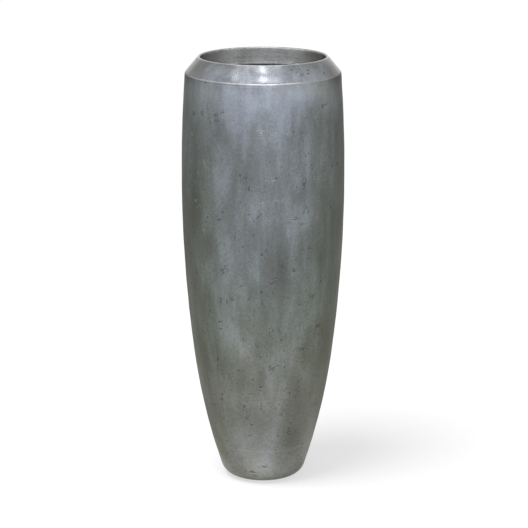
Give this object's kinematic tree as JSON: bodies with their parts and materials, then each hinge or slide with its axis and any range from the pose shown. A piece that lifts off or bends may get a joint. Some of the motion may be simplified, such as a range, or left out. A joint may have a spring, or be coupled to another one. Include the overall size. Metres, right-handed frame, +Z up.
{
  "type": "tall aluminium planter",
  "caption": "Tall round aluminium floor planter with a coned collar, tapering to a small rounded foot, holding a lift-out planting liner with swinging wire handles.",
  "frame": {"origin": "on the floor under the middle of the planter", "axes": "+Z up along the planter's axis, -Y towards the pictured side, +X to its right"},
  "size_m": [0.377, 0.3768, 1],
  "materials": {
    "vessel_metal": "hand polished and patinated, with pits and scars",
    "shelf_metal": "mill",
    "screw_steel": "zinc plated",
    "handle_steel": "drawn wire",
    "foot_rubber": "matte",
    "bung_rubber": "matte",
    "liner_plastic": "moulded, fine grain",
    "grip_plastic": "moulded"
  },
  "bodies": {
    "vessel": {"base_pan": "vessel_metal", "foot_ring": "foot_rubber", "body_wall": "vessel_metal", "shoulder_collar": "vessel_metal", "shelf_ring": "shelf_metal", "shelf_brackets": "shelf_metal", "shelf_screws": "screw_steel"},
    "liner": {"liner_pot": "liner_plastic"},
    "left_handle": {"left_handle_wire": "handle_steel", "left_handle_grip": "grip_plastic"},
    "right_handle": {"right_handle_wire": "handle_steel", "right_handle_grip": "grip_plastic"},
    "bung": {"drain_bung": "bung_rubber"}
  },
  "joints": [
    {"name": "liner_lift", "type": "slide", "parent": "vessel", "child": "liner", "axis": [0, 0, 1], "range_m": [0, 0.4]},
    {"name": "left_handle_swing", "type": "hinge", "parent": "liner", "child": "left_handle", "pos_m": [-0.1011, 0, 0.907], "axis": [0, -1, 0], "range_deg": [0, 180]},
    {"name": "right_handle_swing", "type": "hinge", "parent": "liner", "child": "right_handle", "pos_m": [0.1011, 0, 0.907], "axis": [0, 1, 0], "range_deg": [0, 180]},
    {"name": "bung_pull", "type": "slide", "parent": "liner", "child": "bung", "axis": [0, 0, 1], "range_m": [0, 0.04]}
  ]
}
